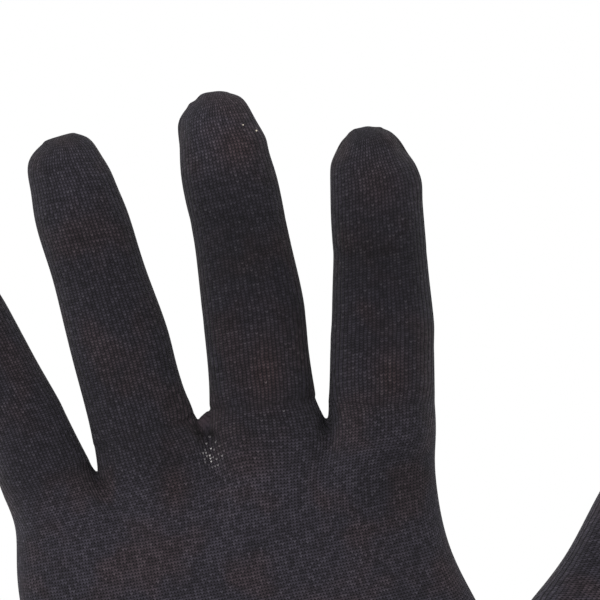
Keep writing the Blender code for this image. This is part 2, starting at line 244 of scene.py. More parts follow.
# How the knit differs from place to place. Light is how light its yarn is, painted light and shade
# included, and relief how deep its gaps are. Courses is how far its rows show beside its wales, and
# mesh how far it is light lines round dark gaps instead of light dots. FRONT_FADE is a range of how
# far a surface faces forwards, and FLAT_FADE of how far it faces forwards or backwards.
PALM_TOP = 166.5 * MM
PALM_BLEND = 7.0 * MM
FRONT_FADE = (-0.25, 0.15)
FLAT_FADE = (0.35, 0.9)
FINGER_LIGHT = 0.87
PALM_LIGHT = 1.0
PALM_SIDE_LIGHT = 1.32
CUFF_LIGHT = 1.32
FINGER_RELIEF = 0.94
PALM_RELIEF = 1.0
SHADED_PLACE_FLATTENING = 0.5
SIDE_COURSES = 0.12
FINGER_COURSES = 0.42
PALM_COURSES = 0.60
PALM_MESH = 0.85
SPARKLE_EVERYWHERE = 0.42

# The knit's material. Colours are linear, and noise scales are in waves to the metre. The knit
# wanders by part of a stitch. An edge is the range of a share over which light yarn fades in.
YARN_COLOUR = (0.0282, 0.0250, 0.0335, 1.0)
WARM_COLOUR = (0.0415, 0.0265, 0.0285, 1.0)
GAP_COLOUR = (0.0055, 0.0048, 0.0064, 1.0)
GLINT_COLOUR = (0.46, 0.445, 0.435, 1.0)
PINHOLE_COLOUR = (0.62, 0.56, 0.46, 1.0)
STITCH_RELIEF = 0.3 * MM
SWAY_SCALE = 350.0
DRIFT_SCALE = 420.0
WANDER = 0.7
LEG_SLANT = 0.5
WALE_EDGE = (1.0, 0.45)
COURSE_EDGE = (0.05, 0.75)
DOT_POWER = 2.0
LINE_POWER = 3.0
WALE_POWER = 2.0
WALE_SHARE = 0.86
STITCH_CHANGE = 0.8
PATCH_SCALE = 60.0
PATCH_CHANGE = 0.6
TINT_SCALE = 90.0
TINT_EDGE = (0.45, 0.7)
TINT_SHARE = 0.5
GLINT_CHANCE = (0.35, 1.05)
GLINT_EDGE = (0.64, 1.0)
PINHOLE_FADE = 0.5
KNIT_ROUGHNESS = 0.8
KNIT_SHEEN = 0.03
KNIT_SHEEN_ROUGHNESS = 0.5
KNIT_SPECULAR = 0.1

# The corners between the fingers, as shares of the palm's width from its middle and of its length
# from the line of the roots
ROOTS = (
    Root(-0.480, -0.073),
    Root(-0.272, -0.030),
    Root(-0.016, 0.019),
    Root(0.254, -0.019),
    Root(0.496, -0.066),
)
# Rows from the wrist to the thumb, with shares of the way from the wrist's size to the hand's, and
# how far a row has parted into the hand and the thumb
HEEL_ROWS = (
    PalmRow(0.00, 0.00, 0.00, 0.00, 0.00),
    PalmRow(0.14, 0.15, 0.04, 0.06, 0.00),
    PalmRow(0.30, 0.43, 0.16, 0.22, 0.00),
    PalmRow(0.48, 0.74, 0.36, 0.45, 0.10),
    PalmRow(0.66, 0.91, 0.59, 0.68, 0.30),
    PalmRow(0.84, 0.98, 0.82, 0.87, 0.62),
    PalmRow(1.00, 1.00, 1.00, 1.00, 1.00),
)
# Rows from the thumb to the finger roots, with shares of the palm's half width and depth, and how
# far a row has parted into the fingers
PALM_ROWS = (
    PalmRow(0.00, 0.965, 1.110, 1.12, 0.00),
    PalmRow(0.20, 0.995, 1.015, 1.08, 0.00),
    PalmRow(0.45, 1.010, 0.948, 1.04, 0.00),
    PalmRow(0.70, 1.010, 0.937, 1.00, 0.06),
    PalmRow(0.88, 0.990, 0.955, 0.97, 0.32),
    PalmRow(1.00, 0.960, 0.980, 0.95, 1.00),
)
# Sections of a finger, as shares of its length, width, depth and, for the shift, width again
MIDDLE_SECTIONS = (
    Section(0.100, 1.020, 1.07, -0.016),
    Section(0.160, 0.992, 1.05, -0.013),
    Section(0.260, 0.975, 1.01, -0.008),
    Section(0.370, 0.979, 0.94, 0.005),
    Section(0.510, 0.926, 0.96, 0.003),
    Section(0.620, 0.898, 0.89, 0.005),
    Section(0.725, 0.902, 0.88, 0.001),
    Section(0.802, 0.863, 0.86, -0.005),
    Section(0.860, 0.812, 0.81, 0.001),
    Section(0.905, 0.756, 0.74, -0.008),
    Section(0.943, 0.692, 0.63, -0.010),
    Section(0.972, 0.565, 0.49, 0.006),
    Section(0.990, 0.390, 0.34, 0.020),
)
INDEX_SECTIONS = (
    Section(0.111, 1.018, 1.07, -0.013),
    Section(0.180, 1.004, 1.05, -0.010),
    Section(0.307, 0.992, 1.01, -0.005),
    Section(0.372, 0.977, 0.95, 0.004),
    Section(0.503, 0.924, 0.96, 0.000),
    Section(0.590, 0.895, 0.90, 0.004),
    Section(0.697, 0.887, 0.88, 0.000),
    Section(0.790, 0.866, 0.86, 0.003),
    Section(0.860, 0.825, 0.81, -0.002),
    Section(0.900, 0.746, 0.73, -0.018),
    Section(0.940, 0.626, 0.60, -0.016),
    Section(0.970, 0.492, 0.47, -0.018),
    Section(0.989, 0.340, 0.32, -0.012),
)
THUMB_SECTIONS = (
    Section(0.120, 1.000, 1.00, 0.000),
    Section(0.200, 0.960, 0.95, 0.000),
    Section(0.290, 0.915, 0.91, 0.000),
    Section(0.390, 0.890, 0.89, 0.000),
    Section(0.500, 0.900, 0.88, 0.000),
    Section(0.620, 0.910, 0.85, 0.000),
    Section(0.740, 0.880, 0.80, 0.000),
    Section(0.840, 0.790, 0.71, 0.000),
    Section(0.910, 0.670, 0.60, 0.000),
    Section(0.960, 0.510, 0.45, 0.000),
    Section(0.986, 0.340, 0.31, 0.000),
)
LITTLE_SECTIONS = (
    Section(0.111, 1.060, 1.20, -0.010),
    Section(0.180, 1.035, 1.13, -0.010),
    Section(0.307, 1.000, 1.04, -0.005),
    *INDEX_SECTIONS[3:],
)
LITTLE = Finger(LITTLE_LENGTH, LITTLE_WIDTH, math.radians(-14.0), 0.010, 0.15, LITTLE_SECTIONS)
RING = Finger(RING_LENGTH, RING_WIDTH, math.radians(-5.0), 0.000, 0.13, MIDDLE_SECTIONS)
MIDDLE = Finger(MIDDLE_LENGTH, MIDDLE_WIDTH, math.radians(1.8), 0.0211, 0.10, MIDDLE_SECTIONS)
INDEX = Finger(INDEX_LENGTH, INDEX_WIDTH, math.radians(8.9), 0.0165, 0.10, INDEX_SECTIONS)
THUMB = Finger(THUMB_LENGTH, THUMB_WIDTH, THUMB_LEAN, 0.03, 0.16, THUMB_SECTIONS)
FINGERS = (LITTLE, RING, MIDDLE, INDEX)

# A face's number says which of these pieces it belongs to. The fingers' follow in order.
HandPiece = namedtuple("HandPiece", "name nodes")
HEEL_PIECE, PALM_PIECE, THUMB_PIECE, FIRST_FINGER_PIECE = range(4)
HAND_PIECES = (
    HandPiece("knit_heel", ("heel",)),
    HandPiece("knit_palm", ("palm", "finger_roots")),
    HandPiece("knit_thumb", ("thumb",)),
    HandPiece("knit_little", ("little_finger",)),
    HandPiece("knit_ring", ("ring_finger",)),
    HandPiece("knit_middle", ("middle_finger",)),
    HandPiece("knit_index", ("index_finger",)),
)

ROOT_HEIGHT = CUFF_LENGTH + PALM_LENGTH
THUMB_ROW_HEIGHT = CUFF_LENGTH + THUMB_CROTCH_HEIGHT
PALM_COLUMNS = COLUMNS * len(FINGERS)
FRONT = Vector((0.0, -1.0, 0.0))


def curved(value):
    """A sine or cosine bent from a circle's to that of a slightly squared oval."""
    return math.copysign(abs(value) ** (2 / OVAL_POWER), value)


def mix(a, b, share):
    return a + (b - a) * share


def mix_points(first, second, share):
    return [p.lerp(q, share) for p, q in zip(first, second)]


def mix_loops(first, second, share):
    return Loop(*(mix_points(p, q, share) for p, q in zip(first, second)))


def closed(loop):
    """The loop's points in order, anticlockwise seen from the fingertips."""
    return loop.front + loop.right + loop.back[::-1] + loop.left[::-1]


def turned_loop(centre, half_across, half_out, turns):
    """The loop at the given angles across its front, and evenly on round its sides."""

    def at(angle):
        return centre + half_across * curved(math.sin(angle)) + half_out * curved(math.cos(angle))

    corner = turns[-1]
    side_step = (math.pi - 2 * corner) / (SIDE_POINTS + 1)
    sides = [corner + side_step * (side + 1) for side in range(SIDE_POINTS)]
    return Loop(
        [at(turn) for turn in turns],
        [at(side) for side in sides],
        [at(math.pi - turn) for turn in turns],
        [at(-side) for side in sides],
    )


def finger_loop(centre, half_across, half_out):
    turns = [mix(-CORNER_ANGLE, CORNER_ANGLE, column / COLUMNS) for column in range(COLUMNS + 1)]
    return turned_loop(centre, half_across, half_out, turns)


def palm_loop(oval, columns):
    centre = (oval.left + oval.right) / 2
    half_across = (oval.right - oval.left) / 2
    ends = PALM_CORNER_SHARE
    steps = [mix(-ends, ends, column / columns) for column in range(columns + 1)]
    turns = [math.asin(math.copysign(abs(step) ** (OVAL_POWER / 2), step)) for step in steps]
    return turned_loop(centre, half_across, FRONT * (oval.depth / 2), turns)


def joined(loops):
    """Loops that stand side by side as one loop, pinched where they meet."""
    front, back = list(loops[0].front), list(loops[0].back)
    for loop in loops[1:]:
        for row, more in ((front, loop.front), (back, loop.back)):
            row[-1] = (row[-1] + more[0]) / 2
            row.extend(more[1:])
    return Loop(front, loops[-1].right, back, loops[0].left)


def web(front, back):
    points = []
    for step in range(1, SIDE_POINTS + 1):
        share = step / (SIDE_POINTS + 1)
        rise = WEB_RISE * (1 - (2 * share - 1) ** 2)
        points.append(front.lerp(back, share) + Vector((0, 0, rise)))
    return points


def part_of(loop, first, last, left, right):
    """The columns first to last of a loop, closed by the given sides."""
    return Loop(loop.front[first : last + 1], right, loop.back[first : last + 1], left)


def root_point(number):
    root = ROOTS[number]
    return Vector((root.across * PALM_WIDTH, 0, ROOT_HEIGHT + root.height * PALM_LENGTH - WEB_RISE))


def finger_root_loop(number):
    left, right = root_point(number), root_point(number + 1)
    half = (right - left) / 2
    outermost = number in (0, len(FINGERS) - 1)
    half_width = half.length / (1.0 if outermost else curved(math.sin(CORNER_ANGLE)))
    return finger_loop((left + right) / 2, half.normalized() * half_width, FRONT * (ROOT_DEPTH / 2))


def finger_centre(finger, start, along):
    axis = Vector((math.sin(finger.lean), 0, math.cos(finger.lean)))
    sideways = Vector((axis.z, 0, -axis.x))
    bowed = sideways * (finger.bow * 4 * along * (1 - along))
    curled = FRONT * (finger.curl * along**2)
    return start + (axis * along + bowed + curled) * finger.length


def finger_ring(finger, start, section):
    centre = finger_centre(finger, start, section.along)
    axis = (finger_centre(finger, start, section.along + AXIS_STEP) - centre).normalized()
    outward = (FRONT - axis * FRONT.dot(axis)).normalized()
    across = axis.cross(outward)
    if finger is THUMB:
        turn = THUMB_TURN * max(0.0, 1 - section.along / THUMB_TURN_END)
        across = across * math.cos(turn) + outward * math.sin(turn)
    flatness = THUMB_FLATNESS if finger is THUMB else FINGER_FLATNESS
    half = finger.width / 2
    return finger_loop(
        centre + across * (section.shift * finger.width),
        across * (section.width * half),
        outward * (section.depth * half * flatness),
    )


def finger_start(number):
    return (root_point(number) + root_point(number + 1)) / 2


def thumb_root_ends():
    crotch = Vector((THUMB_CROTCH_OUT, 0, THUMB_ROW_HEIGHT - WEB_RISE))
    square = Vector((math.cos(THUMB_LEAN), 0, -math.sin(THUMB_LEAN)))
    return crotch, crotch + square * THUMB_WIDTH + FRONT * THUMB_FORWARD


def thumb_start():
    crotch, outer = thumb_root_ends()
    return (crotch + outer) / 2


def palm_row_oval(row):
    low = THUMB_ROW_HEIGHT - WEB_RISE
    half = PALM_WIDTH / 2
    left = Vector((-row.left * half, 0, mix(low, root_point(0).z, row.along)))
    right = Vector((row.right * half, 0, mix(low, root_point(len(ROOTS) - 1).z, row.along)))
    return Oval(left, right, row.depth * PALM_DEPTH)


def heel_loops():
    """The rows from the wrist to the thumb, across the hand and the thumb together."""
    hand_end = palm_row_oval(PALM_ROWS[0])
    crotch, outer = thumb_root_ends()
    thumb_half = (outer - crotch) / 2
    thumb_reach = thumb_half.length / curved(math.sin(CORNER_ANGLE))
    thumb_lobe = finger_loop(
        (crotch + outer) / 2,
        thumb_half.normalized() * thumb_reach,
        FRONT * (THUMB_WIDTH * THUMB_FLATNESS / 2),
    )
    split = joined([palm_loop(hand_end, PALM_COLUMNS), thumb_lobe])
    wrist_left = Vector((-WRIST_WIDTH / 2, 0, CUFF_LENGTH))
    wrist_right = Vector((WRIST_WIDTH / 2, 0, CUFF_LENGTH))
    loops = []
    for row in HEEL_ROWS:
        left = wrist_left.lerp(hand_end.left, row.along)
        left.x = mix(wrist_left.x, hand_end.left.x, row.left)
        right = wrist_right.lerp(outer, row.along)
        right.x = mix(wrist_right.x, outer.x, row.right)
        depth = mix(WRIST_DEPTH, hand_end.depth, row.depth)
        plain = palm_loop(Oval(left, right, depth), PALM_COLUMNS + COLUMNS)
        loops.append(mix_loops(plain, split, row.lobes))
    return loops


def palm_loops(first):
    """The rows from the thumb to the finger roots."""
    lobes = joined([finger_root_loop(number) for number in range(len(ROOTS) - 1)])
    loops = [first]
    for row in PALM_ROWS[1:]:
        plain = palm_loop(palm_row_oval(row), PALM_COLUMNS)
        loops.append(mix_loops(plain, lobes, row.lobes))
    return loops


def cap_rows(loop, rise):
    """A domed grid of points that closes the last loop of a finger, from its front to its back."""
    rows = [loop.front]
    for side in range(SIDE_POINTS):
        down = (side + 1) / (SIDE_POINTS + 1)
        row = [loop.left[side]]
        for column in range(1, COLUMNS):
            over = column / COLUMNS
            flat = loop.front[column].lerp(loop.back[column], down)
            row.append(flat + rise * (1 - (2 * over - 1) ** DOME_POWER))
        rows.append(row + [loop.right[side]])
    return rows + [loop.back]


def side_counts(low, high):
    """Course counts at a side's points, spread between those of its two corners."""
    return [mix(low, high, (step + 1) / (SIDE_POINTS + 1)) for step in range(SIDE_POINTS)]


def even_wales(first, last):
    """Wale counts at the columns of the palm."""
    return [PALM_WALES * column / PALM_COLUMNS for column in range(first, last + 1)]


def finger_wales(first_column, count):
    """Wale counts at a finger's columns, in even steps across it as it is seen from the front."""
    middle = PALM_WALES * (first_column + COLUMNS / 2) / PALM_COLUMNS
    turns = [mix(-CORNER_ANGLE, CORNER_ANGLE, column / COLUMNS) for column in range(COLUMNS + 1)]
    reach = curved(math.sin(CORNER_ANGLE))
    return [middle + count / 2 * curved(math.sin(turn)) / reach for turn in turns]


def lobe_wales(columns, first_lobe):
    """Wale counts at the palm's columns where they stand in lobes, from the given column on."""
    wales = even_wales(0, first_lobe)
    for first in range(first_lobe, columns, COLUMNS):
        wales.extend(finger_wales(first, PALM_WALES / len(FINGERS))[1:])
    return wales


def closed_wales(front, side):
    """Wale counts all round a ring, the first point's again at the end."""
    across = front[-1] - front[0]
    right = [front[-1] + count for count in side_counts(0.0, side)]
    back = [front[-1] + side + front[-1] - wale for wale in reversed(front)]
    left = [back[-1] + count for count in side_counts(0.0, side)]
    return [*front, *right, *back, *left, front[0] + 2 * across + 2 * side]


def lobed_rows(rows, columns, first_lobe):
    """Wale counts all round each row, as it goes from one oval to lobes."""
    even = even_wales(0, columns)
    lobed = lobe_wales(columns, first_lobe)
    fronts = [[mix(p, q, row.lobes) for p, q in zip(even, lobed)] for row in rows]
    return [closed_wales(front, PALM_SIDE_WALES) for front in fronts]


def palm_rise(low, high, along):
    return (high.z - low.z) / PALM_COURSE


def finger_rise(low, high, along):
    """The courses between two points, which are taller at the stretched tip."""
    share = min(max((along - TIP_START) / (TIP_END - TIP_START), 0.0), 1.0)
    return (high - low).length / mix(FINGER_COURSE, TIP_COURSE, share)


def on_view(points):
    """Each point's millimetres to the right of the view's centre and above it."""
    away = points - np.array(VIEW_CENTRE)
    return away @ np.array(VIEW_RIGHT) / MM, away @ np.array(VIEW_UP) / MM


def nearness(patch, right, up):
    """One in the middle of a patch, fading to nought round it."""
    far = ((right - patch.right) / patch.wide) ** 2 + ((up - patch.up) / patch.high) ** 2
    return np.exp(-far)


def lifted(point):
    """How many courses the knit is pulled up at a point on the front."""
    if point.y > 0:
        return 0.0
    right, up = on_view(np.array(point))
    pulled = sum(lift.amount * nearness(lift, right, up) for lift in LIFTS)
    return pulled * MM / PALM_COURSE


class Knit:
    """A mesh of rings whose face corners carry counts of wales and courses."""

    def __init__(self):
        self.piece = HEEL_PIECE
        self.mesh = bmesh.new()
        self.counts = self.mesh.loops.layers.uv.new("stitches")

    def face(self, verts, counts):
        made = self.mesh.faces.new(verts)
        made.material_index = self.piece
        for corner, (wale, course) in zip(made.loops, counts):
            corner[self.counts].uv = (wale, course - lifted(corner.vert.co))

    def tube(self, loops, courses, wales, rise, alongs):
        """A tube on from the given course counts. It gives back those of its last ring."""
        columns = len(loops[0].front) - 1
        points = closed(loops[0])
        counts = closed(courses)
        low = [self.mesh.verts.new(point) for point in points]
        for loop, wale, more_wale, along in zip(loops[1:], wales, wales[1:], alongs[1:]):
            more_points = closed(loop)
            more_counts = [c + rise(p, q, along) for c, p, q in zip(counts, points, more_points)]
            high = [self.mesh.verts.new(point) for point in more_points]
            for i in range(len(points)):
                j = (i + 1) % len(points)
                corners = [low[i], low[j], high[j], high[i]]
                places = [
                    (wale[i], counts[i]),
                    (wale[i + 1], counts[j]),
                    (more_wale[i + 1], more_counts[j]),
                    (more_wale[i], more_counts[i]),
                ]
                self.face(corners, places)
            low, points, counts = high, more_points, more_counts
        return self.as_loop(counts, columns)

    @staticmethod
    def as_loop(values, columns):
        """Values in closed order as a Loop again."""
        front_end = columns + 1
        right_end = front_end + SIDE_POINTS
        back_end = right_end + columns + 1
        return Loop(
            values[:front_end],
            values[front_end:right_end],
            values[right_end:back_end][::-1],
            values[back_end:][::-1],
        )

    def cap(self, loop, dome, courses, wales):
        rows = cap_rows(loop, dome)
        counts = [list(courses.front)]
        for near, far in zip(rows, rows[1:]):
            counts.append([c + finger_rise(p, q, 1.0) for c, p, q in zip(counts[-1], near, far)])
        grid = [[self.mesh.verts.new(point) for point in row] for row in rows]
        for step in range(len(grid) - 1):
            near, far = grid[step], grid[step + 1]
            for column in range(COLUMNS):
                places = [
                    (wales[column], counts[step][column]),
                    (wales[column + 1], counts[step][column + 1]),
                    (wales[column + 1], counts[step + 1][column + 1]),
                    (wales[column], counts[step + 1][column]),
                ]
                self.face([near[column], near[column + 1], far[column + 1], far[column]], places)

    def finger(self, finger, start, root, courses, first_column):
        """A finger from its root loop to its closed tip."""
        end = finger.sections[0]
        below = end._replace(along=end.along - STUB_COLLAR / finger.length)
        rings = [finger_ring(finger, start, section) for section in (below, *finger.sections)]
        last = finger.sections[-1].along
        dome = finger_centre(finger, start, 1.0) - finger_centre(finger, start, last)
        alongs = [0.0, below.along, *(section.along for section in finger.sections)]
        palm_count = PALM_WALES / len(FINGERS)
        wales = []
        for along in alongs:
            count = mix(palm_count, FINGER_WALES, min(along / NARROWING_END, 1.0))
            wales.append(closed_wales(finger_wales(first_column, count), FINGER_SIDE_WALES))
        courses = self.tube([root, *rings], courses, wales, finger_rise, alongs)
        self.cap(rings[-1], dome, courses, finger_wales(first_column, FINGER_WALES))


def knit_heel(knit):
    """The heel of the hand. It gives back its last loop and the course counts there."""
    loops = heel_loops()
    no_courses = Loop(*([0.0] * len(part) for part in loops[0]))
    wales = lobed_rows(HEEL_ROWS, PALM_COLUMNS + COLUMNS, PALM_COLUMNS)
    alongs = [row.along for row in HEEL_ROWS]
    return loops[-1], knit.tube(loops, no_courses, wales, palm_rise, alongs)


def knit_palm(knit, root, courses):
    """The palm on from the heel. It gives back its last loop and the course counts there."""
    loops = palm_loops(root)
    wales = lobed_rows(PALM_ROWS, PALM_COLUMNS, 0)
    alongs = [row.along for row in PALM_ROWS]
    knit.piece = PALM_PIECE
    return loops[-1], knit.tube(loops, courses, wales, palm_rise, alongs)


def knit_fingers(knit, top, courses):
    """The four fingers, with a web between each two."""
    corners = [number * COLUMNS for number in range(1, len(FINGERS))]
    webs = [web(top.front[c], top.back[c]) for c in corners]
    web_courses = [side_counts(courses.front[c], courses.back[c]) for c in corners]
    sides = [top.left, *webs, top.right]
    side_courses = [courses.left, *web_courses, courses.right]
    for number, finger in enumerate(FINGERS):
        first = number * COLUMNS
        last = first + COLUMNS
        root = part_of(top, first, last, sides[number], sides[number + 1])
        counts = part_of(courses, first, last, side_courses[number], side_courses[number + 1])
        knit.piece = FIRST_FINGER_PIECE + number
        knit.finger(finger, finger_start(number), root, counts, first)


def hand_knit():
    """The whole hand, from the wrist to the tips."""
    knit = Knit()
    end, courses = knit_heel(knit)
    crotch = PALM_COLUMNS
    last = PALM_COLUMNS + COLUMNS
    thumb_web = web(end.front[crotch], end.back[crotch])
    web_courses = side_counts(courses.front[crotch], courses.back[crotch])

    palm_root = part_of(end, 0, crotch, end.left, thumb_web)
    palm_courses = part_of(courses, 0, crotch, courses.left, web_courses)
    top, top_courses = knit_palm(knit, palm_root, palm_courses)

    thumb_root = part_of(end, crotch, last, thumb_web, end.right)
    thumb_courses = part_of(courses, crotch, last, web_courses, courses.right)
    knit.piece = THUMB_PIECE
    knit.finger(THUMB, thumb_start(), thumb_root, thumb_courses, crotch)

    knit_fingers(knit, top, top_courses)
    bmesh.ops.remove_doubles(knit.mesh, verts=knit.mesh.verts, dist=MERGE_DISTANCE)
    return knit.mesh


def mesh_data(name, mesh):
    """A mesh for an object from one that was built face by face."""
    data = bpy.data.meshes.new(name)
    mesh.to_mesh(data)
    mesh.free()
    return data


def placed(name, data):
    """A new object in the scene."""
    made = bpy.data.objects.new(name, data)
    bpy.context.scene.collection.objects.link(made)
    return made


def add_wall(obj):
    """Gives a surface the thickness of the cloth, inwards."""
    wall = obj.modifiers.new("wall", "SOLIDIFY")
    wall.thickness = WALL
    wall.offset = -1.0


def coordinates(mesh):
    points = np.empty(len(mesh.vertices) * 3)
    mesh.vertices.foreach_get("co", points)
    return points.reshape(-1, 3)


def set_coordinates(mesh, points):
    mesh.vertices.foreach_set("co", points.ravel())
    mesh.update()


def evaluated_mesh(obj):
    graph = bpy.context.evaluated_depsgraph_get()
    return bpy.data.meshes.new_from_object(obj.evaluated_get(graph), depsgraph=graph)


def spread(patches, points, front):
    """The patches' amounts at each point of the front."""
    right, up = on_view(points)
    total = np.zeros(len(points))
    for patch in patches:
        total += patch.amount * nearness(patch, right, up)
    return total * front


def point_normals(mesh):
    normals = np.empty(len(mesh.vertices) * 3)
    mesh.vertices.foreach_get("normal", normals)
    return normals.reshape(-1, 3)


def store(mesh, name, values):
    layer = mesh.attributes.new(name, "FLOAT", "POINT")
    layer.data.foreach_set("value", values.astype(np.float32))


def smooth_step(values, low, high):
    share = np.clip((values - low) / (high - low), 0.0, 1.0)
    return share * share * (3 - 2 * share)


def even_out(mesh):
    """Evens out the ledges where the outermost tubes leave the palm."""
    points = coordinates(mesh)
    weight = np.zeros(len(points))
    for spot in (root_point(0), root_point(len(FINGERS)), thumb_root_ends()[1]):
        far = ((points - np.array(spot)) ** 2).sum(axis=1) / EVENING_REACH**2
        weight = np.maximum(weight, np.exp(-far))
    edges = np.empty(len(mesh.edges) * 2, np.int32)
    mesh.edges.foreach_get("vertices", edges)
    here = np.concatenate([edges[0::2], edges[1::2]])
    there = np.concatenate([edges[1::2], edges[0::2]])
    degree = np.bincount(here, minlength=len(points))
    for _ in range(EVENING_ROUNDS):
        for axis in range(3):
            along = points[:, axis]
            mean = np.bincount(here, along[there], minlength=len(points)) / degree
            points[:, axis] = along + EVENING_DRAW * weight * (mean - along)
    set_coordinates(mesh, points)


def raised(points, normals, front):
    """The points with the lumps, dents and bulges of the front."""
    points = points + normals * (spread(LUMPS, points, front) * MM)[:, None]
    right, up = on_view(points)
    for bulge in BULGES:
        push = (VIEW_UP * bulge.rise + FRONT * bulge.out) * MM
        points += (nearness(bulge, right, up) * front)[:, None] * np.array(push)
    return points


def dress(mesh):
    """Raises the lumps on the fine surface, and notes how its knit looks at each point."""
    normals = point_normals(mesh)
    front = smooth_step(-normals[:, 1], *FRONT_FADE)
    flat = smooth_step(np.abs(normals[:, 1]), *FLAT_FADE)
    points = raised(coordinates(mesh), normals, front)
    set_coordinates(mesh, points)
    palm = 1.0 - smooth_step(points[:, 2], PALM_TOP - PALM_BLEND, PALM_TOP + PALM_BLEND)
    flat_and_shaded = spread(FLAT_SHADED_PLACES, points, front)
    flattened = SHADED_PLACE_FLATTENING * flat_and_shaded + spread(SMOOTH_PLACES, points, front)
    light = mix(FINGER_LIGHT, mix(PALM_SIDE_LIGHT, PALM_LIGHT, flat), palm)
    store(mesh, "courses", mix(SIDE_COURSES, mix(FINGER_COURSES, PALM_COURSES, palm), flat))
    store(mesh, "meshed", PALM_MESH * palm * flat)
    store(mesh, "relief", mix(FINGER_RELIEF, PALM_RELIEF, palm) - flattened)
    # The yarn's lightness, with the painted light and shade of the tables added in
    store(mesh, "light", light + spread(PAINTED_LIGHT_AND_SHADE, points, front) - flat_and_shaded)
    store(mesh, "warm", np.clip(spread(WARMTHS, points, front), 0.0, 1.0))
    store(mesh, "sparkle", np.clip(spread(SPARKLES, points, front), SPARKLE_EVERYWHERE, 1.0))


def take_piece(whole, number, name, material):
    """One piece of the whole knit as its own object, with the whole's smooth shading."""
    mesh = bmesh.new()
    mesh.from_mesh(whole)
    others = [face for face in mesh.faces if face.material_index != number]
    bmesh.ops.delete(mesh, geom=others, context="FACES")
    data = mesh_data(name, mesh)
    normals = np.empty(len(data.vertices) * 3, np.float32)
    data.attributes["whole_normal"].data.foreach_get("vector", normals)
    data.attributes.remove(data.attributes["whole_normal"])
    data.polygons.foreach_set("material_index", np.zeros(len(data.polygons), np.int32))
    data.materials.clear()
    data.materials.append(material)
    data.shade_smooth()
    data.normals_split_custom_set_from_vertices(normals.reshape(-1, 3))
    return placed(name, data)


def fit_cage(hand, wanted):
    """Moves the cage until the subdivided surface goes through the wanted points."""
    cage = wanted.copy()
    for _ in range(FITTING_ROUNDS):
        reached = coordinates(evaluated_mesh(hand))[: len(wanted)]
        cage += wanted - reached
        set_coordinates(hand.data, cage)


def build_hand(material):
    """The hand's pieces, in the order of HAND_PIECES."""
    data = mesh_data("whole", hand_knit())
    for _ in HAND_PIECES:
        data.materials.append(material)
    hand = placed("whole", data)
    smooth = hand.modifiers.new("smooth", "SUBSURF")
    smooth.levels = SUBDIVISIONS
    smooth.render_levels = SUBDIVISIONS
    fit_cage(hand, coordinates(data))
    fine = evaluated_mesh(hand)
    hand.modifiers.clear()
    hand.data = fine
    even_out(fine)
    dress(fine)
    add_wall(hand)
    whole = evaluated_mesh(hand)
    layer = whole.attributes.new("whole_normal", "FLOAT_VECTOR", "POINT")
    layer.data.foreach_set("vector", point_normals(whole).ravel().astype(np.float32))
    pieces = [take_piece(whole, i, row.name, material) for i, row in enumerate(HAND_PIECES)]
    bpy.data.objects.remove(hand, do_unlink=True)
    return pieces


def cuff_ring(height):
    """Points all round the cuff at a height, and how deep in a groove each of them is."""
    share = height / CUFF_LENGTH
    bead = math.exp(-(((height - BEAD_HEIGHT) / BEAD_REACH) ** 2))
    half_width = mix(CUFF_END_WIDTH, WRIST_WIDTH, share) / 2
    half_depth = mix(CUFF_END_DEPTH, WRIST_DEPTH, share) / 2
    ribbed = min((CUFF_LENGTH - height) / RIB_FADE, 1.0) * (1 - BEAD_FLATTENING * bead)
    points, grooves = [], []
    for point in range(RIB_COUNT * RIB_POINTS):
        angle = 2 * math.pi * point / (RIB_COUNT * RIB_POINTS)
        groove = ribbed * (0.5 - 0.5 * math.cos(RIB_COUNT * angle))
        turn = CUFF_WAVES * angle + CUFF_WAVE_TURN * share
        wave = CUFF_WAVE * math.sin(math.pi * share) * math.sin(turn)
        out = BEAD_SWELL * bead + wave - RIB_DEPTH * groove
        across = (half_width + out) * curved(math.cos(angle))
        back = (half_depth + out) * curved(math.sin(angle))
        points.append((across, back, height))
        grooves.append(groove)
    return points, grooves


def cuff_mesh():
    """The cuff's outer surface, and how deep in a groove each of its points is."""
    mesh = bmesh.new()
    layer = mesh.loops.layers.uv.new("stitches")
    wale_step = RIB_WALES / RIB_POINTS
    course_step = CUFF_LENGTH / CUFF_ROWS / PALM_COURSE
    rings, grooves = [], []
    for row in range(CUFF_ROWS + 1):
        points, depths = cuff_ring(CUFF_LENGTH * row / CUFF_ROWS)
        rings.append([mesh.verts.new(point) for point in points])
        grooves.extend(depths)
    for row, (low, high) in enumerate(zip(rings, rings[1:])):
        for i in range(len(low)):
            j = (i + 1) % len(low)
            face = mesh.faces.new([low[i], low[j], high[j], high[i]])
            for corner, (aside, above) in zip(face.loops, ((0, 0), (1, 0), (1, 1), (0, 1))):
                corner[layer].uv = ((i + aside) * wale_step, (row + above) * course_step)
    return mesh, np.array(grooves)


def build_cuff(material):
    """The ribbed cuff, its ribs fading into the hand at the wrist."""
    mesh, grooves = cuff_mesh()
    data = mesh_data("rib_cuff", mesh)
    everywhere = np.ones(len(grooves))
    nowhere = np.zeros(len(grooves))
    store(data, "courses", everywhere)
    store(data, "meshed", nowhere)
    store(data, "relief", everywhere)
    store(data, "light", CUFF_LIGHT - RIB_SHADE * grooves)
    store(data, "warm", nowhere)
    store(data, "sparkle", nowhere)
    data.shade_smooth()
    data.materials.append(material)
    cuff = placed("rib_cuff", data)
    add_wall(cuff)
    return cuff


